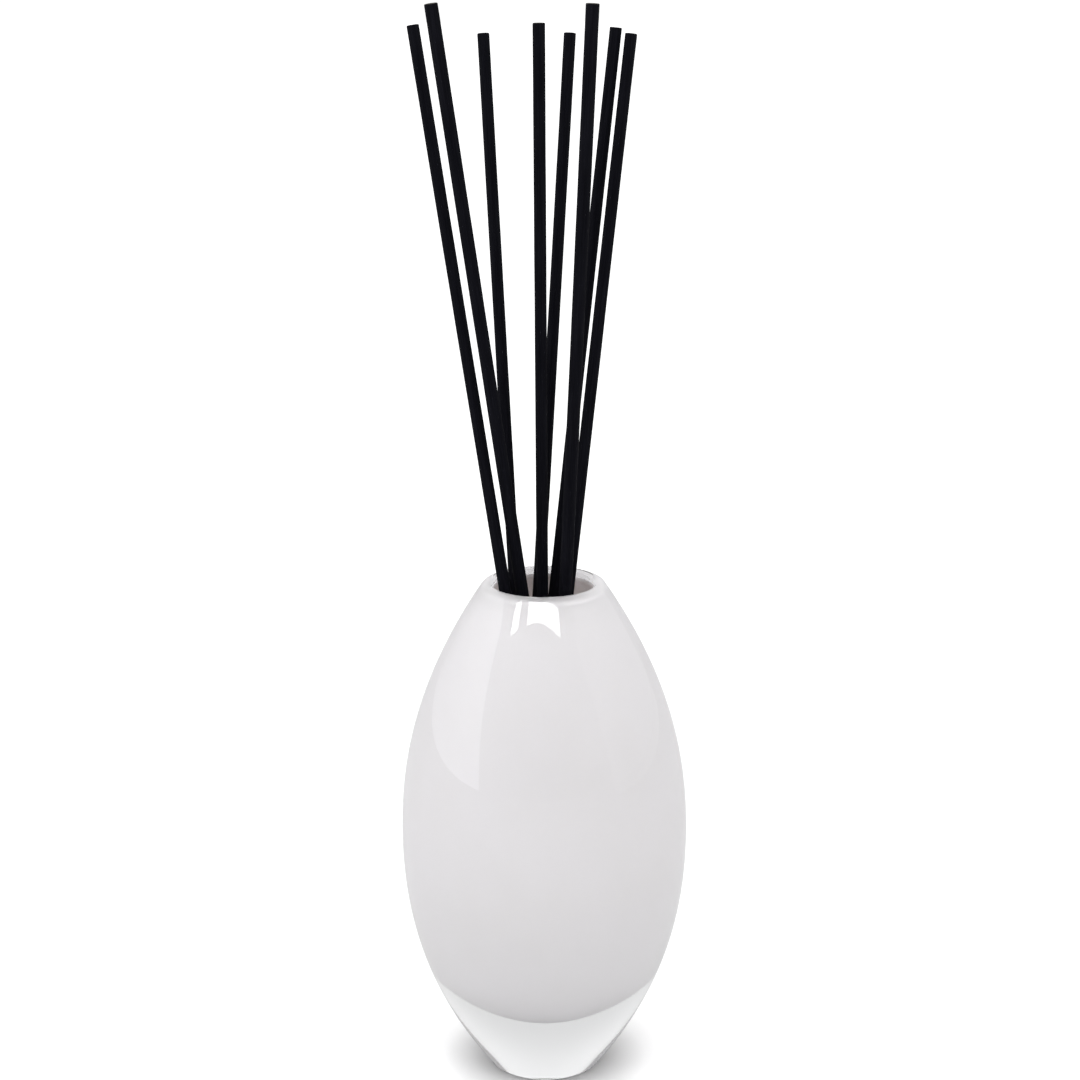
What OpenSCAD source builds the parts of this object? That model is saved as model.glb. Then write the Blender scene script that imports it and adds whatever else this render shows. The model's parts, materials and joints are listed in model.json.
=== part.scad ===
/* [Vase outline] */
// Height to the top of the lip
vase_h = 196; // [190:1:205]
// Widest radius of the body
belly_r = 55; // [54:0.5:57]
// Height of the widest place
belly_z = 96; // [92:1:100]
// Radius of the flat ground foot
foot_r = 20.5; // [18:0.5:21]
// Radius of the round edge between the foot and the side
foot_round = 3; // [2:0.5:4]
// Lean of the side where it leaves the foot, in degrees from upright
foot_lean = 35; // [32:1:38]
// Outer radius where the neck meets the lip
neck_r = 23.5; // [23.5:0.5:25]
// Lean of the neck where it meets the lip, in degrees from upright
neck_lean = 34; // [31:1:36]

/* [Glass layers] */
// Thickness of the whole wall at the lip
lip_t = 5.2; // [4.8:0.1:5.2]
// Thickness of the clear layer beside the lip
lip_clear_t = 2; // [1.6:0.1:2.4]
// Thickness of the clear layer at the belly
belly_clear_t = 3.5; // [3:0.1:3.6]
// Thickness of the opal layer at the belly
belly_opal_t = 2.5; // [2:0.1:2.6]
// Thickness of the clear base under the opal layer
base_clear_t = 30; // [26:0.5:30]
// Thickness of the opal layer at its lowest place
base_opal_t = 3; // [2:0.1:3]
// How far the outer corner of the opal layer's top edge lies below the round lip
opal_drop = 2.3; // [1:0.1:3]
// How far round the lip the clear layer reaches, in degrees from the neck's outside
clear_turn = 140; // [110:5:170]

/* [Oil] */
// Height of the oil's surface above the foot
oil_z = 110; // [80:1:140]

/* [Reeds] */
// Diameter of a reed
reed_d = 4.5; // [4:0.1:4.5]
// Diameter of the two stout reeds
stout_reed_d = 4.8; // [4:0.1:4.8]
// Length of a reed
reed_len = 362; // [300:1:400]
// Length of the two stout reeds
stout_reed_len = 373; // [300:1:400]
// Width of the bevel round a reed's cut ends
reed_bevel = 0.4; // [0.2:0.1:0.8]

/* [Hidden] */

glass_fn = 180;     // facets of a full turn of glass
reed_fn = 32;       // facets of a full turn of a reed
curve_steps = 14;   // straight steps along each curve of an outline
lip_steps = 14;     // straight steps round the clear part of the lip
opal_lip_steps = 4; // straight steps round the opal part of the lip
foot_steps = 5;     // straight steps round the edge of the foot
reed_clearance = 0.15; // room between a reed and the oil round it
channel_run = 5;    // how far a reed's channel runs on above the oil's surface

// Each reed's foot centre (x, y, z), the x and y of its tip, and how much longer
// it was cut than its kind. The feet stand on the cavity's floor, and the reeds
// cross in the neck and fan out above the mouth.
REED_PLACES = [
    [[9, -20, 43], [-46, 10], 0],
    [[13.5, 8, 39], [-38, -18.5], 0],
    [[-3, -9, 36], [-21.5, 35.5], 1],
    [[0, 10, 36.5], [-1, 0.5], 2],
    [[-11, -3.5, 37], [10.5, 41], 0],
    [[1, -5.5, 35], [17.5, -20.5], 0],
    [[-12, 8, 38.5], [27, 24.5], 0],
    [[-8, -13, 39], [32.5, 23.5], -1]
];
STOUT_REEDS = [2, 6];

// The lip is a half circle that closes the wall's top, square to the neck.
lip_r = lip_t / 2;
neck_z = vase_h - lip_r * (1 - sin(neck_lean));
neck_out = [cos(neck_lean), sin(neck_lean)];
neck_up = [-sin(neck_lean), cos(neck_lean)];
lip_centre = [neck_r, neck_z] - lip_r * neck_out;
lip_inner = lip_centre - lip_r * neck_out;

// The opal layer's top edge slopes up from this corner to the lip's inner side,
// and the clear layer rolls over it to form the rest of the lip.
opal_corner = lip_centre + (lip_r - lip_clear_t) * neck_out - opal_drop * neck_up;

// Where the side leaves the rounded edge of the foot.
side_foot = [foot_r + foot_round * cos(foot_lean), foot_round * (1 - sin(foot_lean))];
seam_belly_r = belly_r - belly_clear_t;
cavity_belly_r = seam_belly_r - belly_opal_t;
cavity_floor_z = base_clear_t + base_opal_t;

function bezier(a, b, c, d, t) =
    pow(1 - t, 3) * a + 3 * pow(1 - t, 2) * t * b + 3 * (1 - t) * t * t * c + pow(t, 3) * d;

function curve(a, b, c, d) =
    [for (i = [0 : curve_steps]) bezier(a, b, c, d, i / curve_steps)];

function arc(centre, r, from, to, steps) = [
    for (i = [0 : steps])
        let (turn = from + (to - from) * i / steps)
            centre + r * [cos(turn), sin(turn)]
];

// The point at distance l from p, at lean degrees from upright.
function along(p, lean, l) = p + l * [sin(lean), cos(lean)];

// A wall's outline above its widest place, up to its end at the lip.
function upper_wall(r, low_pull, end, end_pull) =
    curve([r, belly_z], [r, belly_z + low_pull], along(end, -neck_lean, -end_pull), end);

// The bowl that closes a layer below its widest place.
function bowl(floor_z, floor_pull, r, side_pull) =
    curve([0, floor_z], [floor_pull, floor_z], [r, belly_z - side_pull], [r, belly_z]);

OUTSIDE = concat(
    arc([foot_r, foot_round], foot_round, -90, -foot_lean, foot_steps),
    curve(side_foot, along(side_foot, foot_lean, 23.5), [belly_r, belly_z - 48], [belly_r, belly_z]),
    upper_wall(belly_r, 22, [neck_r, neck_z], 51)
);
SEAM = concat(
    bowl(base_clear_t, 16, seam_belly_r, 48),
    upper_wall(seam_belly_r, 21, opal_corner, 47.5)
);
CAVITY = concat(
    bowl(cavity_floor_z, 14, cavity_belly_r, 45),
    upper_wall(cavity_belly_r, 20, lip_inner, 48)
);
CLEAR_LIP = arc(lip_centre, lip_r, neck_lean, neck_lean + clear_turn, lip_steps);
OPAL_LIP = arc(lip_centre, lip_r, neck_lean + clear_turn, neck_lean + 180, opal_lip_steps);

function reversed(list) = [for (i = [len(list) - 1 : -1 : 0]) list[i]];

// An outline without the points that repeat the one before them.
function distinct(list) =
    [for (i = [0 : len(list) - 1]) if (i == 0 || norm(list[i] - list[max(i - 1, 0)]) > 0.01) list[i]];

module turned(outline) {
    rotate_extrude($fn = glass_fn) polygon(distinct(outline));
}

module clear_glass_casing() {
    color([0.86, 0.88, 0.9, 0.45])
        turned(concat([[0, 0]], OUTSIDE, CLEAR_LIP, reversed(SEAM)));
}

module opal_glass_lining() {
    color([0.95, 0.95, 0.97])
        turned(concat(SEAM, OPAL_LIP, reversed(CAVITY)));
}

module fragrance_oil() {
    wall = [for (p = CAVITY) if (p[1] < oil_z) p];
    edge_r = lookup(oil_z, [for (p = CAVITY) [p[1], p[0]]]);
    color([0.93, 0.85, 0.62, 0.8])
    difference() {
        turned(concat(wall, [[edge_r, oil_z], [0, oil_z]]));
        // Each channel is turned so that its seam is off the plane that its reed leans in.
        for (i = [1 : len(REED_PLACES)])
            on_reed_axis(i)
                rotate([0, 0, 45])
                    cylinder(h = channel_length(i), r = reed_radius(i) + reed_clearance, $fn = reed_fn);
    }
}

function is_stout(i) = len(search(i, STOUT_REEDS)) > 0;
function reed_length(i) = (is_stout(i) ? stout_reed_len : reed_len) + REED_PLACES[i - 1][2];
function reed_radius(i) = (is_stout(i) ? stout_reed_d : reed_d) / 2;
function reed_foot(i) = REED_PLACES[i - 1][0];
function reed_reach(i) = REED_PLACES[i - 1][1] - [reed_foot(i)[0], reed_foot(i)[1]];

// Long enough to run from the reed's foot to just above the oil's surface.
function channel_length(i) = oil_z - reed_foot(i)[2] + channel_run;

// Puts its children's z axis along reed i, with their origin at the reed's foot.
module on_reed_axis(i) {
    reach = reed_reach(i);
    lean = asin(norm(reach) / reed_length(i));
    turn = atan2(reach[1], reach[0]);
    translate(reed_foot(i)) rotate([0, lean, turn]) children();
}

module reed(i) {
    r = reed_radius(i);
    l = reed_length(i);
    b = reed_bevel;
    color([0.09, 0.09, 0.11])
    on_reed_axis(i)
        rotate_extrude($fn = reed_fn)
            polygon([[0, 0], [r - b, 0], [r, b], [r, l - b], [r - b, l], [0, l]]);
}

module reed_1() { reed(1); }
module reed_2() { reed(2); }
module reed_3() { reed(3); }
module reed_4() { reed(4); }
module reed_5() { reed(5); }
module reed_6() { reed(6); }
module reed_7() { reed(7); }
module reed_8() { reed(8); }

clear_glass_casing();
opal_glass_lining();
fragrance_oil();
reed_1();
reed_2();
reed_3();
reed_4();
reed_5();
reed_6();
reed_7();
reed_8();
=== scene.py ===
"""Looks of a reed diffuser: a cased glass vase, its fragrance oil and eight black reeds."""

import json
import logging
import math
from dataclasses import dataclass, field
from enum import Enum
from typing import Any, Optional, Union

import bmesh
import bpy
from mathutils import Matrix, Vector, noise
from mathutils.geometry import interpolate_bezier


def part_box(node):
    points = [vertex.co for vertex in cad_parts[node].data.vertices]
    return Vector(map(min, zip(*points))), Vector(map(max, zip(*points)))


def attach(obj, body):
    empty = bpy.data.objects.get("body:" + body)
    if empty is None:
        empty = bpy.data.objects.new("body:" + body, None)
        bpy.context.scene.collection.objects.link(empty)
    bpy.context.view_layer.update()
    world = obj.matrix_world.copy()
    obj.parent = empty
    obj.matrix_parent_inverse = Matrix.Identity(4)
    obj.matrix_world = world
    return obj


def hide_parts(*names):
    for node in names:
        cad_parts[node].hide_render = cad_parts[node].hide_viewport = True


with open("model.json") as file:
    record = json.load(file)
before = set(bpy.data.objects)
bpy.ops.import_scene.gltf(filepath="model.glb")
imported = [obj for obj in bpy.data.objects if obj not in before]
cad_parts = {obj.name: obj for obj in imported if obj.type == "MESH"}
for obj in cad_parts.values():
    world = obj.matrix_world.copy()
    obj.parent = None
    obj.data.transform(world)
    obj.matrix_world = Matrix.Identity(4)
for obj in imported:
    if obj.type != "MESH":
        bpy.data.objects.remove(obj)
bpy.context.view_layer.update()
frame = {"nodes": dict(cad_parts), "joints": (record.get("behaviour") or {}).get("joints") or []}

LOG = logging.getLogger("reed_diffuser")
MM = 0.001
Colour = tuple[float, float, float, float]
Outline = list[Vector]


class Slot(Enum):
    """The record's finishes."""

    CLEAR = "clear_glass"
    OPAL = "opal_glass"
    OIL = "oil"
    REED = "reed"


# --- shader nodes -----------------------------------------------------------------


class Value:
    """A node's output that takes part in Python expressions on numbers."""

    def __init__(self, sheet: "NodeSheet", socket: bpy.types.NodeSocket) -> None:
        """Wraps one output socket of a sheet's node."""
        self.sheet = sheet
        self.socket = socket

    def maths(self, operation: str, *others: Any) -> "Value":
        """A Math node of this value and the others, in that order."""
        return self.sheet.maths(operation, self, *others)

    def __add__(self, other: Any) -> "Value":
        """self + other."""
        return self.maths("ADD", other)

    def __rsub__(self, other: Any) -> "Value":
        """other - self."""
        return self.sheet.maths("SUBTRACT", other, self)

    def __mul__(self, other: Any) -> "Value":
        """self * other."""
        return self.maths("MULTIPLY", other)

    def __truediv__(self, other: Any) -> "Value":
        """self / other."""
        return self.maths("DIVIDE", other)

    def __pow__(self, other: Any) -> "Value":
        """self ** other."""
        return self.maths("POWER", other)

    __radd__ = __add__
    __rmul__ = __mul__


class NodeSheet:
    """The node tree of one finish."""

    def __init__(self, tree: bpy.types.NodeTree) -> None:
        """Starts an empty sheet on a node tree."""
        self.tree = tree
        self.tree.nodes.clear()

    def node(
        self,
        kind: str,
        settings: Optional[dict[str, Any]] = None,
        sockets: Optional[dict[Union[int, str], Any]] = None,
        out: Union[int, str] = 0,
    ) -> Value:
        """Adds one node.

        Args:
            kind: The node's type.
            settings: Properties set first; "stops" gives a ramp's (place, colour) pairs.
            sockets: Numbers, colours or other nodes' outputs for its inputs.
            out: The output that is wanted.

        Returns:
            That output.
        """
        made = self.tree.nodes.new(kind)
        for name, value in (settings or {}).items():
            if name == "stops":
                self._stops(made.color_ramp, value)
            else:
                setattr(made, name, value)
        for key, value in (sockets or {}).items():
            if isinstance(value, Value):
                self.tree.links.new(made.inputs[key], value.socket)
            else:
                made.inputs[key].default_value = value
        return Value(self, made.outputs[out]) if len(made.outputs) else Value(self, None)

    @staticmethod
    def _stops(ramp: bpy.types.ColorRamp, stops: list[tuple[float, float]]) -> None:
        """Sets a grey ramp's stops from (place, value) pairs.

        Args:
            ramp: The ramp.
            stops: Its pairs, in the order of their places.
        """
        while len(ramp.elements) < len(stops):
            ramp.elements.new(0.5)
        for element, (place, level) in zip(ramp.elements, stops):
            element.position = place
            element.color = grey(level)

    def maths(self, operation: str, *values: Any) -> Value:
        """A Math node of the given operation and values."""
        return self.node("ShaderNodeMath", {"operation": operation}, dict(enumerate(values)))

    def mix(self, share: Any, low: Any, high: Any) -> Value:
        """A colour between low and high."""
        settings = {"data_type": "RGBA"}
        return self.node("ShaderNodeMix", settings, {0: share, 6: low, 7: high}, 2)

    def place(self) -> Value:
        """Object coordinates, in metres."""
        return self.node("ShaderNodeTexCoord", out="Object")

    def attribute(self, name: str, out: str = "Fac") -> Value:
        """A number or a vector that the mesh holds under this name."""
        return self.node("ShaderNodeAttribute", {"attribute_name": name}, out=out)

    def noise(self, at: Value, scale: float, detail: float = 3, rough: float = 0.5) -> Value:
        """Noise with the given number of features to the metre."""
        values = {"Vector": at, "Scale": scale, "Detail": detail, "Roughness": rough}
        return self.node("ShaderNodeTexNoise", None, values)

    def scaled(self, at: Value, factors: tuple[float, float, float]) -> Value:
        """A vector with each of its sides multiplied by a factor."""
        return self.node("ShaderNodeVectorMath", {"operation": "MULTIPLY"}, {0: at, 1: factors})

    def ramp(self, share: Value, *stops: tuple[float, float]) -> Value:
        """A grey ramp over share."""
        return self.node("ShaderNodeValToRGB", {"stops": list(stops)}, {"Fac": share})

    def lit_softly(self) -> Value:
        """1 for light that reaches a matt surface, 0 for a look straight through glass."""
        bounces = self.node("ShaderNodeLightPath", out="Diffuse Depth")
        return self.maths("MINIMUM", bounces, 1.0)

    def bump(self, height: Value, metres: float, strength: float = 1.0) -> Value:
        """A normal from a height of 0 to 1, where 1 stands for this many metres."""
        values = {"Height": height, "Distance": metres, "Strength": strength}
        return self.node("ShaderNodeBump", None, values)

    def surface(self, sockets: dict[str, Any]) -> None:
        """Finishes the sheet with a Principled shader."""
        shader = self.node("ShaderNodeBsdfPrincipled", None, sockets)
        self.node("ShaderNodeOutputMaterial", None, {"Surface": shader})


def grey(level: float) -> Colour:
    """A grey of this level."""
    return (level, level, level, 1)


def new_material(name: str) -> tuple[bpy.types.Material, NodeSheet]:
    """A new material and its empty sheet.

    Args:
        name: The finish's name.

    Returns:
        The material and the sheet.
    """
    material = bpy.data.materials.new(name)
    material.use_nodes = True
    return material, NodeSheet(material.node_tree)


# --- finishes ---------------------------------------------------------------------


@dataclass(frozen=True)
class ClearGlass:
    """Hand-worked clear glass: smooth, with faint ripples and a very slight tint."""

    tint: Colour = (0.985, 0.99, 0.995, 1)
    ior: float = 1.5
    polish: float = 0.0
    worn_polish: float = 0.03
    ripple_scale: float = 38.0
    ripple_height: float = 0.06 * MM
    haze_scale: float = 420.0

    def material(self) -> bpy.types.Material:
        """Builds the finish.

        Returns:
            The material.
        """
        made, sheet = new_material("clear_glass")
        at = sheet.place()
        ripples = sheet.noise(at, self.ripple_scale, 1.0)
        haze = sheet.noise(at, self.haze_scale, 2)
        sheet.surface({
            "Base Color": self.tint,
            "Roughness": sheet.ramp(haze, (0.72, self.polish), (0.95, self.worn_polish)),
            "IOR": self.ior,
            "Transmission Weight": 1.0,
            "Normal": sheet.bump(ripples, self.ripple_height),
        })
        return made


@dataclass(frozen=True)
class OpalGlass:
    """Dense white glass: glossy in the air, matt where the clear layer holds it.

    The little light that the wall would let through is painted as a faint glow: an emission on the
    faces that the clear layer doesn't hold.
    """

    light: Colour = (0.935, 0.915, 0.93, 1)
    deep: Colour = (0.915, 0.895, 0.90, 1)
    painted_glow_colour: Colour = (0.105, 0.092, 0.091, 1)
    air_roughness: float = 0.12
    held_roughness: float = 0.72
    gloss: float = 0.25
    swirl_height: float = 0.03 * MM

    def material(self) -> bpy.types.Material:
        """Builds the finish.

        Returns:
            The material.
        """
        made, sheet = new_material("opal_glass")
        at = sheet.place()
        clouds = sheet.noise(at, 24, 3)
        swirl = sheet.noise(sheet.scaled(at, (1, 1, 0.35)), 90, 4)
        share = sheet.ramp(clouds * 0.7 + swirl * 0.3, (0.3, 0.0), (0.72, 1.0))
        held = sheet.attribute("held")
        sheet.surface({
            "Base Color": sheet.mix(share, self.light, self.deep),
            "Roughness": held * (self.held_roughness - self.air_roughness) + self.air_roughness,
            "Specular IOR Level": self.gloss,
            # painted glow: emission on the faces the clear layer doesn't hold stands in for light let
            # through the wall
            "Emission Color": sheet.mix(held, self.painted_glow_colour, grey(0)),
            "Emission Strength": 1.0,
            "Normal": sheet.bump(swirl, self.swirl_height),
        })
        return made


@dataclass(frozen=True)
class FragranceOil:
    """A pale straw-coloured clear liquid."""

    pale: Colour = (0.97, 0.91, 0.72, 1)
    rich: Colour = (0.95, 0.87, 0.62, 1)
    ior: float = 1.41
    ripple_height: float = 0.02 * MM

    def material(self) -> bpy.types.Material:
        """Builds the finish.

        Returns:
            The material.
        """
        made, sheet = new_material("fragrance_oil")
        at = sheet.place()
        streaks = sheet.noise(sheet.scaled(at, (1, 1, 0.25)), 60, 2)
        sheet.surface({
            "Base Color": sheet.mix(streaks, self.pale, self.rich),
            "Roughness": 0.0,
            "IOR": self.ior,
            "Transmission Weight": 1.0,
            "Normal": sheet.bump(sheet.noise(at, 70, 1), self.ripple_height),
        })
        return made


@dataclass(frozen=True)
class DyedReed:
    """Black dyed fibre: matt, grooved along its length, with pale pores at its cut ends."""

    black: Colour = (0.0015, 0.0015, 0.0030, 1)
    worn: Colour = (0.0045, 0.0045, 0.0075, 1)
    pith: Colour = (0.10, 0.095, 0.075, 1)
    pore: Colour = (0.006, 0.006, 0.006, 1)
    dust: Colour = (0.12, 0.12, 0.13, 1)
    gloss: float = 0.07
    fibre_height: float = 0.09 * MM

    def material(self) -> bpy.types.Material:
        """Builds the finish.

        Returns:
            The material.
        """
        made, sheet = new_material("dyed_reed")
        at = sheet.attribute("grain_place", "Vector")
        fibres = sheet.noise(sheet.scaled(at, (1, 1, 0.02)), 2600, 4, 0.6)
        bands = sheet.noise(sheet.scaled(at, (1, 1, 0.12)), 420, 3)
        wear = sheet.ramp(fibres * 0.65 + bands * 0.35, (0.42, 0.0), (0.72, 1.0))
        pores = sheet.ramp(sheet.noise(at, 3200, 2), (0.44, 0.0), (0.54, 1.0))
        specks = sheet.ramp(sheet.noise(at, 1500, 2), (0.785, 0.0), (0.81, 0.4))
        side = sheet.mix(wear, self.black, self.worn)
        cut = sheet.attribute("cut_end")
        end = sheet.mix(pores, self.pore, self.pith)
        sheet.surface({
            "Base Color": sheet.mix(cut, sheet.mix(specks, side, self.dust), end),
            "Roughness": 0.95 - wear * 0.18,
            "Specular IOR Level": self.gloss,
            "Normal": sheet.bump(fibres * 0.7 + pores * 0.3, self.fibre_height),
        })
        return made


# --- making pieces ----------------------------------------------------------------


def finished(name: str, shape: bmesh.types.BMesh, material: bpy.types.Material) -> bpy.types.Object:
    """Turns a bmesh into a smooth-shaded object at the origin.

    Args:
        name: The piece's name.
        shape: The bmesh, which is freed.
        material: Its finish.

    Returns:
        The new object, linked to the scene.
    """
    mesh = bpy.data.meshes.new(name)
    shape.to_mesh(mesh)
    shape.free()
    mesh.materials.append(material)
    mesh.shade_smooth()
    piece = bpy.data.objects.new(name, mesh)
    bpy.context.scene.collection.objects.link(piece)
    return piece


def hand_in(piece: bpy.types.Object, body: str, node: str) -> None:
    """Puts a piece on its body in place of its solid, and reports it.

    Args:
        piece: The finished piece.
        body: The body that it rides.
        node: The solid that it replaces.
    """
    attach(piece, body)
    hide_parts(node)
    LOG.info("%s: %d faces, rides %s", piece.name, len(piece.data.polygons), body)


def turned(outline: Outline, steps: int) -> bmesh.types.BMesh:
    """Turns an open outline in the XZ plane round the Z axis.

    Args:
        outline: Points with x as the radius.
        steps: Facets of the full turn.

    Returns:
        The closed shape, with outward normals.
    """
    shape = bmesh.new()
    line = [shape.verts.new(point) for point in outline]
    edges = [shape.edges.new(pair) for pair in zip(line, line[1:])]
    bmesh.ops.spin(
        shape, geom=line + edges, cent=(0, 0, 0), axis=(0, 0, 1),
        angle=math.tau, steps=steps, use_merge=True,
    )
    bmesh.ops.remove_doubles(shape, verts=shape.verts, dist=0.002 * MM)
    bmesh.ops.recalc_face_normals(shape, faces=shape.faces)
    return shape


# --- the vase ---------------------------------------------------------------------


@dataclass(frozen=True)
class Pulls:
    """How far a wall's curves are drawn on from their ends, in millimetres."""

    start: float
    side: float
    shoulder: float
    neck: float


@dataclass
class VaseOutline:
    """The walls of the vase as outlines in millimetres; x is the radius."""

    height: float = 196
    belly_r: float = 55
    belly_z: float = 96
    foot_r: float = 20.5
    foot_round: float = 3
    foot_lean: float = math.radians(35)
    neck_r: float = 23.5
    neck_lean: float = math.radians(34)
    lip_t: float = 5.2
    lip_clear_t: float = 2
    belly_clear_t: float = 3.5
    belly_opal_t: float = 2.5
    base_clear_t: float = 30
    base_opal_t: float = 3
    opal_drop: float = 2.3
    clear_turn: float = math.radians(140)
    outside_pulls: Pulls = Pulls(23.5, 48, 22, 51)
    seam_pulls: Pulls = Pulls(16, 48, 21, 47.5)
    cavity_pulls: Pulls = Pulls(14, 45, 20, 48)
    samples: int = 40
    foot_samples: int = 8

    @staticmethod
    def turn(lean: float) -> Vector:
        """The direction at this angle from level."""
        return Vector((math.cos(lean), 0, math.sin(lean)))

    def neck_out(self) -> Vector:
        """The direction out of the neck's wall."""
        return self.turn(self.neck_lean)

    def neck_up(self) -> Vector:
        """The direction up along the neck's wall."""
        return self.turn(self.neck_lean + math.pi / 2)

    def neck_end(self) -> Vector:
        """Where the outside of the neck meets the round lip."""
        drop = self.lip_t / 2 * (1 - math.sin(self.neck_lean))
        return Vector((self.neck_r, 0, self.height - drop))

    def lip_centre(self) -> Vector:
        """The middle of the round lip."""
        return self.neck_end() - self.neck_out() * (self.lip_t / 2)

    def arc(self, centre: Vector, r: float, start: float, end: float, count: int) -> Outline:
        """Points along an arc, from one angle to another."""
        angles = [start + (end - start) * i / count for i in range(count + 1)]
        return [centre + self.turn(angle) * r for angle in angles]

    def curve(self, start: Vector, pull: Vector, end_pull: Vector, end: Vector) -> Outline:
        """Points along a curve between two ends, drawn towards two pulls."""
        return interpolate_bezier(start, pull, end_pull, end, self.samples)

    def upper(self, r: float, pulls: Pulls, end: Vector) -> Outline:
        """A wall above its widest place, up to its end at the lip.

        Args:
            r: The radius at the widest place.
            pulls: The wall's pulls.
            end: Where the wall ends.

        Returns:
            Points from the widest place upwards.
        """
        return self.curve(
            Vector((r, 0, self.belly_z)), Vector((r, 0, self.belly_z + pulls.shoulder)),
            end - self.neck_up() * pulls.neck, end,
        )

    def side(self, start: Vector, way: Vector, r: float, pulls: Pulls) -> Outline:
        """A wall below its widest place, from a start that it leaves in this way.

        Args:
            start: The lowest point.
            way: The direction that the wall leaves it in.
            r: The radius at the widest place.
            pulls: The wall's pulls.

        Returns:
            Points from the start up to the widest place.
        """
        return self.curve(
            start, start + way * pulls.start,
            Vector((r, 0, self.belly_z - pulls.side)), Vector((r, 0, self.belly_z)),
        )

    def bowl(self, floor_z: float, r: float, pulls: Pulls) -> Outline:
        """The bowl that closes a layer below its widest place."""
        return self.side(Vector((0, 0, floor_z)), Vector((1, 0, 0)), r, pulls)

    def lip(self, start: float, end: float, count: int) -> Outline:
        """Part of the round lip, between two turns from the neck's outside."""
        lean = self.neck_lean
        return self.arc(self.lip_centre(), self.lip_t / 2, lean + start, lean + end, count)

    def outside(self) -> Outline:
        """The outside, from the middle of the foot to the end of the neck.

        Returns:
            Points in that order, without the middle of the foot itself.
        """
        lean = self.foot_lean
        round_end = Vector((
            self.foot_r + self.foot_round * math.cos(lean), 0,
            self.foot_round * (1 - math.sin(lean)),
        ))
        edge = self.arc(
            Vector((self.foot_r, 0, self.foot_round)), self.foot_round,
            -math.pi / 2, -lean, self.foot_samples,
        )
        way = Vector((math.sin(lean), 0, math.cos(lean)))
        pulls = self.outside_pulls
        side = self.side(round_end, way, self.belly_r, pulls)
        return edge + side + self.upper(self.belly_r, pulls, self.neck_end())

    def seam(self, ease: float) -> Outline:
        """The face where the two layers of glass meet.

        Args:
            ease: How far the face is moved from its true place, out and up at its corner.

        Returns:
            Points from the middle of the base to the opal layer's upper corner.
        """
        r = self.belly_r - self.belly_clear_t + ease
        out = self.lip_t / 2 - self.lip_clear_t + ease
        edge = self.lip_centre() + self.neck_out() * out - self.neck_up() * (self.opal_drop - ease)
        pulls = self.seam_pulls
        return self.bowl(self.base_clear_t - ease, r, pulls) + self.upper(r, pulls, edge)

    def cavity(self, ease: float = 0) -> Outline:
        """The inside face, from the middle of its floor to the lip.

        Args:
            ease: How far the face is moved outwards from its true place.

        Returns:
            Points in that order.
        """
        r = self.belly_r - self.belly_clear_t - self.belly_opal_t + ease
        floor_z = self.base_clear_t + self.base_opal_t - ease
        edge = self.lip_centre() - self.neck_out() * (self.lip_t / 2 - ease)
        return self.bowl(floor_z, r, self.cavity_pulls) + self.upper(r, self.cavity_pulls, edge)


@dataclass
class CasedVase:
    """The vase: an opal white layer inside a clear layer with a thick clear base."""

    body: str = "vase"
    outline: VaseOutline = field(default_factory=VaseOutline)
    clear: ClearGlass = field(default_factory=ClearGlass)
    opal: OpalGlass = field(default_factory=OpalGlass)
    steps: int = 160
    bond: float = 0.05
    lip_overlap: float = 0.02
    waviness: float = 0.1 * MM
    waves_to_the_metre: float = 30
    still_foot: float = 12 * MM

    def in_metres(self, outline: Outline) -> Outline:
        """An outline in metres, without the points that repeat the one before them.

        Args:
            outline: Points in millimetres.

        Returns:
            The points that are left, in metres.
        """
        kept = [outline[0]]
        for point in outline[1:]:
            if (point - kept[-1]).length > 0.01:
                kept.append(point)
        return [point * MM for point in kept]

    def waved(self, shape: bmesh.types.BMesh) -> bmesh.types.BMesh:
        """Gives a turned shape the slight unevenness of hand work.

        Args:
            shape: The shape, which is changed.

        Returns:
            The same shape.
        """
        for vert in shape.verts:
            out = Vector((vert.co.x, vert.co.y, 0))
            share = min(1.0, max(0.0, vert.co.z / self.still_foot))
            if out.length > 1e-6:
                seed = Vector((vert.co.x, vert.co.y, vert.co.z * 0.6)) * self.waves_to_the_metre
                wave = noise.noise(seed)
                vert.co += out.normalized() * (wave * self.waviness * share)
        return shape

    def make_casing(self) -> bpy.types.Object:
        """The clear outer layer, with the thick base and the lip over the opal's edge.

        Returns:
            The finished piece.
        """
        out = self.outline
        lip = out.lip(0, out.clear_turn + self.lip_overlap, 24)
        line = [Vector((0, 0, 0))] + out.outside() + lip + list(reversed(out.seam(-self.bond)))
        shape = self.waved(turned(self.in_metres(line), self.steps))
        return finished("clear_glass_shell", shape, self.clear.material())

    def make_lining(self) -> bpy.types.Object:
        """The opal inner layer, with its outer faces marked as held by the clear layer.

        Returns:
            The finished piece.
        """
        out = self.outline
        lip = out.lip(out.clear_turn - self.lip_overlap, math.pi, 8)
        line = out.seam(self.bond) + lip + list(reversed(out.cavity()))
        shape = self.waved(turned(self.in_metres(line), self.steps))
        shape.normal_update()
        held = shape.verts.layers.float.new("held")
        for vert in shape.verts:
            away = Vector((vert.co.x, vert.co.y, vert.co.z - out.belly_z * MM))
            vert[held] = 0.0 if vert.normal.dot(away) < 0 else 1.0
        return finished("opal_glass_bowl", shape, self.opal.material())

    def build(self) -> None:
        """Makes both layers and puts them on the vase."""
        hand_in(self.make_casing(), self.body, "clear_glass_casing")
        hand_in(self.make_lining(), self.body, "opal_glass_lining")


# --- reeds ------------------------------------------------------------------------


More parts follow.
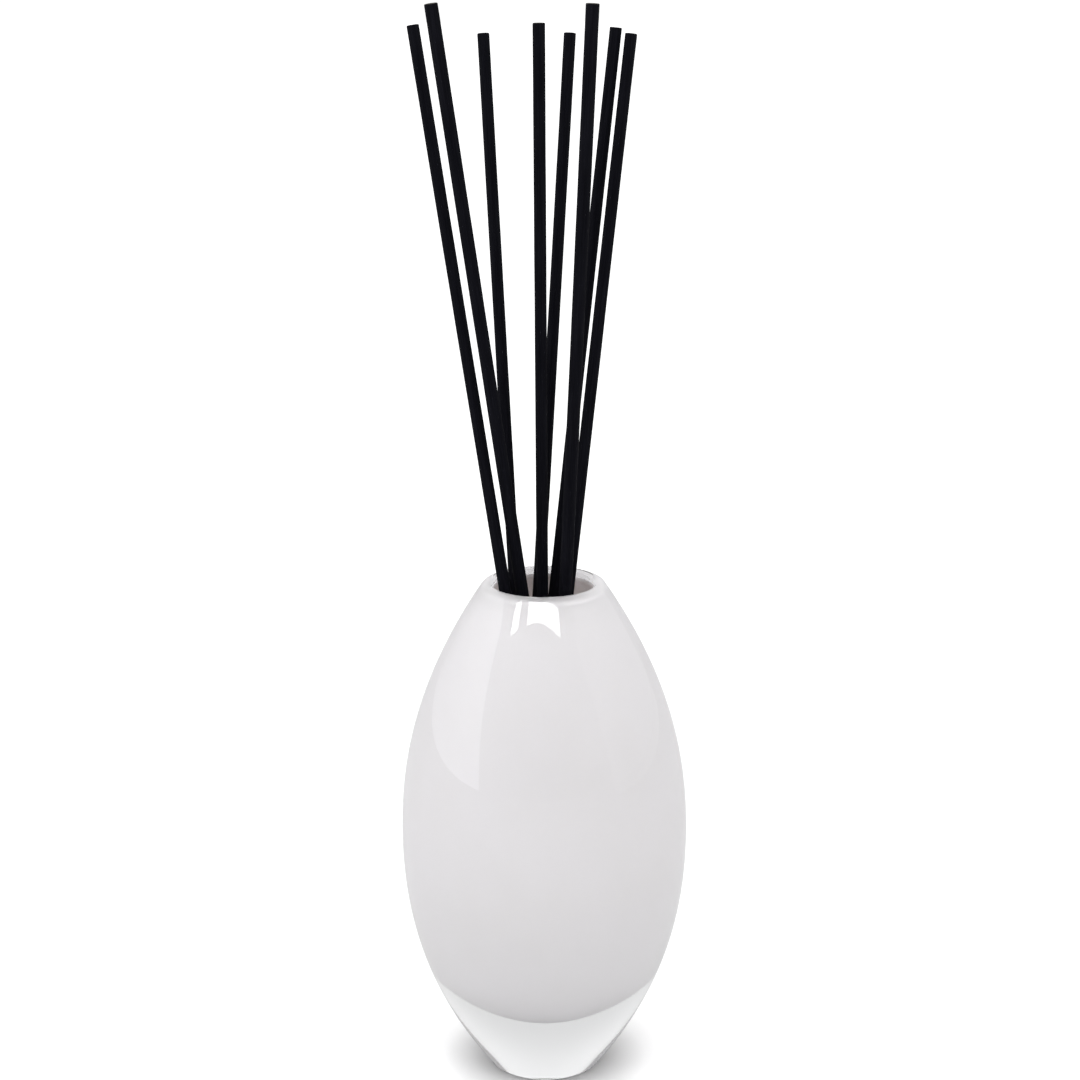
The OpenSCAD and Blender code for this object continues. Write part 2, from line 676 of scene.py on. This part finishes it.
@dataclass
class Reed:
    """One straight reed, measured from its own solid."""

    number: int
    finish: bpy.types.Material
    sides: int = 36
    rings: int = 72
    bevel: float = 0.35 * MM
    cap_inset: float = 0.3 * MM
    end_depth: float = 0.05 * MM
    unevenness: float = 0.05 * MM
    sinking: float = 0.4
    foot: Vector = field(init=False)
    tip: Vector = field(init=False)
    radius: float = field(init=False)

    def __post_init__(self) -> None:
        """Takes the reed's ends and radius from its solid."""
        joint = next(j for j in frame["joints"] if j["child"] == self.name)
        axis = Vector(joint["axis"]).normalized()
        points = [vert.co.copy() for vert in frame["nodes"][self.name].data.vertices]
        heights = [point.dot(axis) for point in points]
        low, high = min(heights), max(heights)
        self.foot = self.middle([p for p, h in zip(points, heights) if h < low + self.end_depth])
        self.tip = self.middle([p for p, h in zip(points, heights) if h > high - self.end_depth])
        self.radius = max(((p - self.foot) - axis * (p - self.foot).dot(axis)).length for p in points)

    @property
    def name(self) -> str:
        """The name that the reed's solid and its body share."""
        return f"reed_{self.number}"

    @staticmethod
    def middle(points: list[Vector]) -> Vector:
        """The middle of the box round some points.

        Args:
            points: The points.

        Returns:
            The middle.
        """
        low = Vector([min(p[i] for p in points) for i in range(3)])
        high = Vector([max(p[i] for p in points) for i in range(3)])
        return (low + high) / 2

    @property
    def length(self) -> float:
        """The reed's length."""
        return (self.tip - self.foot).length

    def stock(self) -> bmesh.types.BMesh:
        """The reed upright on its foot: a bevelled rod with rings along its length.

        Returns:
            The rod.
        """
        shape = bmesh.new()
        bmesh.ops.create_cone(
            shape, cap_ends=True, cap_tris=False, segments=self.sides,
            radius1=self.radius, radius2=self.radius, depth=self.length,
            matrix=Matrix.Translation((0, 0, self.length / 2)),
        )
        rims = [e for e in shape.edges if abs(e.verts[0].co.z - e.verts[1].co.z) < 1e-6]
        bmesh.ops.bevel(
            shape, geom=rims, offset=self.bevel, offset_type="OFFSET", affect="EDGES",
            segments=3, profile=0.5, material=-1,
        )
        half = self.length / 2
        uprights = [e for e in shape.edges if abs(e.verts[0].co.z - e.verts[1].co.z) > half]
        bmesh.ops.subdivide_edges(shape, edges=uprights, cuts=self.rings, use_grid_fill=True)
        caps = [f for f in shape.faces if len(f.verts) == self.sides]
        bmesh.ops.inset_individual(shape, faces=caps, thickness=self.cap_inset, depth=0)
        return shape

    def mark(self, shape: bmesh.types.BMesh) -> None:
        """Notes each point's own place on the reed, for its grain, and its cut ends.

        Args:
            shape: The upright rod, which is changed.
        """
        place = shape.verts.layers.float_vector.new("grain_place")
        cut = shape.verts.layers.float.new("cut_end")
        for vert in shape.verts:
            vert[place] = vert.co + Vector((self.number * 0.05, 0, self.number * 0.11))
            at_end = min(vert.co.z, self.length - vert.co.z) < 0.02 * MM
            vert[cut] = 1.0 if at_end else 0.0

    def roughen(self, shape: bmesh.types.BMesh) -> None:
        """Lets the reed's surface swell and dip a little, as cut fibre does.

        Args:
            shape: The upright rod, which is changed.
        """
        for vert in shape.verts:
            out = Vector((vert.co.x, vert.co.y, 0))
            if out.length > self.radius / 2:
                seed = Vector((vert.co.x * 500, vert.co.y * 500, vert.co.z * 55 + self.number * 9))
                swell = (noise.noise(seed) - self.sinking) * self.unevenness
                vert.co += out.normalized() * swell

    def build(self) -> None:
        """Makes the reed and lays it along its solid."""
        shape = self.stock()
        self.mark(shape)
        self.roughen(shape)
        lean = (self.tip - self.foot).to_track_quat("Z", "Y").to_matrix().to_4x4()
        shape.transform(Matrix.Translation(self.foot) @ lean)
        bmesh.ops.recalc_face_normals(shape, faces=shape.faces)
        piece = finished(f"black_reed_{self.number}", shape, self.finish)
        hand_in(piece, self.name, self.name)


@dataclass
class ReedBunch:
    """The eight reeds that stand loose in the vase."""

    count: int = 8
    finish: DyedReed = field(default_factory=DyedReed)
    reeds: list[Reed] = field(init=False)

    def __post_init__(self) -> None:
        """Measures every reed."""
        material = self.finish.material()
        self.reeds = [Reed(number, material) for number in range(1, self.count + 1)]

    def build(self) -> None:
        """Makes every reed."""
        for reed in self.reeds:
            reed.build()


# --- the oil ----------------------------------------------------------------------


@dataclass
class OilFill:
    """The oil in the vase, with its edge drawn up at the glass and at each reed.

    The outline's values are in millimetres, like the vase's.
    """

    vase: CasedVase
    bunch: ReedBunch
    level: float = 110
    level_r: float = 49
    surface_rings: int = 56
    steps: int = 144
    climb: float = 0.9 * MM
    reach: float = 1.1 * MM
    reed_climb: float = 0.7
    most_climb: float = 1.2
    wall_gap: float = 0.05
    edge_gap: float = 0.02
    room: float = 0.1 * MM
    channel_length: float = 95 * MM
    channel_sink: float = 8 * MM
    finish: FragranceOil = field(default_factory=FragranceOil)

    def outline_points(self) -> Outline:
        """The oil's outline: the cavity's wall up to the level, then in to the middle.

        Returns:
            Points in millimetres, in that order.
        """
        wall = [p for p in self.vase.outline.cavity(-self.wall_gap) if p.z < self.level]
        edge = wall[-1].x - self.edge_gap
        rings = self.surface_rings
        across = [Vector((edge * (1 - i / rings), 0, self.level)) for i in range(rings)]
        return wall + across + [Vector((0, 0, self.level))]

    def drawn_up(self, place: Vector) -> float:
        """How far the oil stands above its level at a place on its surface.

        Args:
            place: The place, in metres.

        Returns:
            The rise, in metres.
        """
        wall = self.level_r * MM - Vector((place.x, place.y, 0)).length
        rise = math.exp(-max(wall, 0) / self.reach)
        for reed in self.bunch.reeds:
            run = (reed.tip - reed.foot).normalized()
            at = reed.foot + run * ((place.z - reed.foot.z) / run.z)
            gap = (place - at).length - reed.radius
            rise += self.reed_climb * math.exp(-max(gap, 0) / self.reach)
        return min(rise, self.most_climb) * self.climb

    def channels(self, material: bpy.types.Material) -> bpy.types.Object:
        """The reeds' channels through the oil, as one cutter.

        Args:
            material: The oil's finish.

        Returns:
            The cutter.
        """
        shape = bmesh.new()
        for reed in self.bunch.reeds:
            run = (reed.tip - reed.foot).normalized()
            lean = run.to_track_quat("Z", "Y").to_matrix().to_4x4()
            middle = reed.foot + run * (self.channel_length / 2 - self.channel_sink)
            bmesh.ops.create_cone(
                shape, cap_ends=True, cap_tris=False, segments=36,
                radius1=reed.radius + self.room, radius2=reed.radius + self.room,
                depth=self.channel_length, matrix=Matrix.Translation(middle) @ lean,
            )
        return finished("oil_channels", shape, material)

    def build(self) -> None:
        """Makes the oil, cuts the channels and puts it in the vase."""
        shape = turned(self.vase.in_metres(self.outline_points()), self.steps)
        material = self.finish.material()
        top = self.level * MM
        for vert in shape.verts:
            if vert.co.z > top - 0.01 * MM:
                vert.co.z += self.drawn_up(vert.co)
        oil = finished("fragrance_oil_fill", shape, material)
        cutter = self.channels(material)
        cut = oil.modifiers.new("channels", "BOOLEAN")
        cut.object = cutter
        cut.solver = "EXACT"
        cut.use_self = True
        ready = oil.evaluated_get(bpy.context.evaluated_depsgraph_get())
        oil.data = bpy.data.meshes.new_from_object(ready)
        oil.modifiers.clear()
        bpy.data.objects.remove(cutter)
        hand_in(oil, self.vase.body, "fragrance_oil")


# --- the studio -------------------------------------------------------------------


@dataclass(frozen=True)
class SoftLamp:
    """A flat soft lamp aimed at the object; lengths in metres, angles in degrees.

    Fade darkens one side of it, and hold_back is the share of its light that matt
    surfaces do without, so that it shows as a reflection more than it lights.
    """

    name: str
    azimuth: float
    elevation: float
    distance: float
    width: float
    height: float
    radiance: float
    colour: tuple[float, float, float] = (1, 1, 1)
    lean: float = 0
    roll: float = 0
    fade: float = 0
    hold_back: float = 0

    def glow(self, lamp: bpy.types.AreaLight) -> None:
        """Fades the lamp towards one side and hides it from a look through clear glass.

        Args:
            lamp: The lamp whose light is set.
        """
        lamp.use_nodes = True
        sheet = NodeSheet(lamp.node_tree)
        place = sheet.node("ShaderNodeNewGeometry", out="Parametric")
        across = sheet.node("ShaderNodeSeparateXYZ", None, {"Vector": place}, "X")
        dark, half = 1 - self.fade, 1 - 0.6 * self.fade
        even = sheet.ramp(across, (0.0, dark), (0.35, half), (0.7, 1.0))
        through = sheet.node("ShaderNodeLightPath", out="Transmission Depth")
        hidden = sheet.maths("MINIMUM", through, 1.0) * (1 - sheet.lit_softly())
        strength = even * (1 - hidden) * (1 - sheet.lit_softly() * self.hold_back)
        light = sheet.node("ShaderNodeEmission", None, {"Color": grey(1), "Strength": strength})
        sheet.node("ShaderNodeOutputLight", None, {"Surface": light})

    def build(self, target: Vector) -> None:
        """Hangs the lamp; azimuth 0 is the camera's side and grows to its right.

        Args:
            target: The place that it is aimed at.
        """
        lamp = bpy.data.lights.new(self.name, "AREA")
        lamp.shape = "RECTANGLE"
        lamp.size = self.width
        lamp.size_y = self.height
        lamp.energy = self.radiance * math.pi * self.width * self.height
        lamp.color = self.colour
        self.glow(lamp)
        holder = bpy.data.objects.new(self.name, lamp)
        turn = math.radians(self.azimuth)
        rise = math.radians(self.elevation)
        away = Vector((
            math.sin(turn) * math.cos(rise), -math.cos(turn) * math.cos(rise), math.sin(rise),
        ))
        facing = away.to_track_quat("Z", "Y").to_matrix().to_4x4()
        tilt = Matrix.Rotation(math.radians(self.lean), 4, "X")
        spin = Matrix.Rotation(math.radians(self.roll), 4, "Z")
        holder.matrix_world = Matrix.Translation(target + away * self.distance) @ facing @ tilt @ spin
        holder.visible_camera = False
        bpy.context.scene.collection.objects.link(holder)


@dataclass
class Studio:
    """A white floor with a painted shade round the foot, soft light all round and the camera."""

    lens: float = 72.4
    camera_place: Vector = field(default_factory=lambda: Vector((0, -785, 421.7)) * MM)
    pitch: float = math.radians(-14.95)
    yaw: float = math.radians(0.092)
    roll: float = math.radians(-0.22)
    surround: float = 0.70
    overhead: float = 0.55
    matt_gain: float = 0.1
    front_dimming: float = 0.42
    backdrop: float = 1.05
    floor_side: float = 30
    floor_edge: float = 1.15
    floor_in_glass: float = 0.6
    floor_on_matt: float = 0.87
    aim_share: float = 0.75
    lamps: tuple[SoftLamp, ...] = (
        SoftLamp(
            "window_lamp", azimuth=-1, elevation=51, distance=1.5,
            width=1.08, height=0.22, radiance=9.0, roll=-4,
        ),
        SoftLamp(
            "narrow_lamp", azimuth=-51, elevation=44, distance=1.5,
            width=0.2, height=0.24, radiance=9.0, roll=30,
        ),
        SoftLamp(
            "left_lamp", azimuth=-98, elevation=26.6, distance=1.92,
            width=2.35, height=2.1, radiance=1.35, colour=(0.96, 0.97, 1.0),
            lean=57, fade=1, hold_back=0.3,
        ),
        SoftLamp(
            "right_lamp", azimuth=96, elevation=22, distance=1.3,
            width=2.2, height=1.3, radiance=0.25,
        ),
    )

    def floor(self) -> None:
        """A wide white floor with a painted shade round the foot, darker where glass or opal looks at
        it.
        """
        shape = bmesh.new()
        bmesh.ops.create_grid(shape, x_segments=2, y_segments=2, size=self.floor_side / 2)
        material, sheet = new_material("studio_floor")
        seen = sheet.node("ShaderNodeLightPath", out="Is Camera Ray")
        away = sheet.node("ShaderNodeVectorMath", {"operation": "LENGTH"}, {0: sheet.place()}, "Value")
        far = sheet.ramp(away / 4.0, (0.08, 0.0), (0.9, 1.0))
        lit = sheet.mix(far, grey(self.backdrop), grey(self.floor_edge))
        unseen = sheet.mix(sheet.lit_softly(), grey(self.floor_in_glass), grey(self.floor_on_matt))
        open_floor = sheet.mix(seen, unseen, lit)
        # painted shade: the floor's colour darkens towards the foot, standing in for its contact
        # shadow
        painted_foot_shade = sheet.ramp(away / 0.1, (0.2, 0.38), (0.29, 0.6), (0.4, 0.84), (0.55, 1.0))
        colour = sheet.mix(painted_foot_shade, grey(0), open_floor)
        shader = sheet.node("ShaderNodeBsdfDiffuse", None, {"Color": colour})
        sheet.node("ShaderNodeOutputMaterial", None, {"Surface": shader})
        bmesh.ops.translate(shape, verts=shape.verts, vec=(0, 0, -0.1 * MM))
        finished("studio_floor", shape, material)

    def surroundings(self) -> None:
        """White light from all round, stronger from above and weaker from the front."""
        world = bpy.data.worlds.new("studio_surround")
        bpy.context.scene.world = world
        world.use_nodes = True
        sheet = NodeSheet(world.node_tree)
        seen = sheet.node("ShaderNodeLightPath", out="Is Camera Ray")
        way = sheet.node("ShaderNodeTexCoord", out="Generated")
        rise = sheet.node("ShaderNodeSeparateXYZ", None, {"Vector": way}, "Z")
        high = sheet.maths("MAXIMUM", rise, 0.0)
        # The curve high^2 (1 - high) peaks at 4/27, two thirds of the way up.
        lit = high * high * (1 - high) * (27 / 4 * self.overhead) + self.surround
        forward = sheet.node("ShaderNodeSeparateXYZ", None, {"Vector": way}, "Y") * -1
        front = sheet.maths("MAXIMUM", forward, 0.0) ** 3
        lit = lit * (1 + sheet.lit_softly() * self.matt_gain) * (1 - front * self.front_dimming)
        strength = lit + seen * (self.backdrop - lit)
        white = sheet.node("ShaderNodeBackground", None, {"Color": grey(1), "Strength": strength})
        sheet.node("ShaderNodeOutputWorld", None, {"Surface": white})

    def camera(self) -> None:
        """The camera, in front of the object and a little above its neck."""
        view = bpy.data.cameras.new("studio_camera")
        view.lens = self.lens
        view.sensor_width = 36
        view.clip_start = 0.01
        holder = bpy.data.objects.new("studio_camera", view)
        aim = Matrix.Rotation(self.yaw, 4, "Z") @ Matrix.Rotation(math.pi / 2 + self.pitch, 4, "X")
        aim = aim @ Matrix.Rotation(self.roll, 4, "Z")
        holder.matrix_world = Matrix.Translation(self.camera_place) @ aim
        bpy.context.scene.collection.objects.link(holder)
        bpy.context.scene.camera = holder

    def build(self) -> None:
        """Sets up the whole studio."""
        scene = bpy.context.scene
        scene.view_settings.view_transform = "Standard"
        scene.cycles.max_bounces = 24
        scene.cycles.transmission_bounces = 24
        scene.cycles.diffuse_bounces = 6
        self.camera()
        self.surroundings()
        self.floor()
        _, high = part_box("clear_glass_casing")
        target = Vector((0, 0, high.z * self.aim_share))
        for lamp in self.lamps:
            lamp.build(target)
        LOG.info("studio: %d lamps", len(self.lamps))


def main() -> None:
    """Builds the studio and every piece of the diffuser."""
    logging.basicConfig(level=logging.INFO, format="%(message)s")
    Studio().build()
    vase = CasedVase()
    vase.build()
    bunch = ReedBunch()
    bunch.build()
    OilFill(vase, bunch).build()


if __name__ == "__main__":
    main()
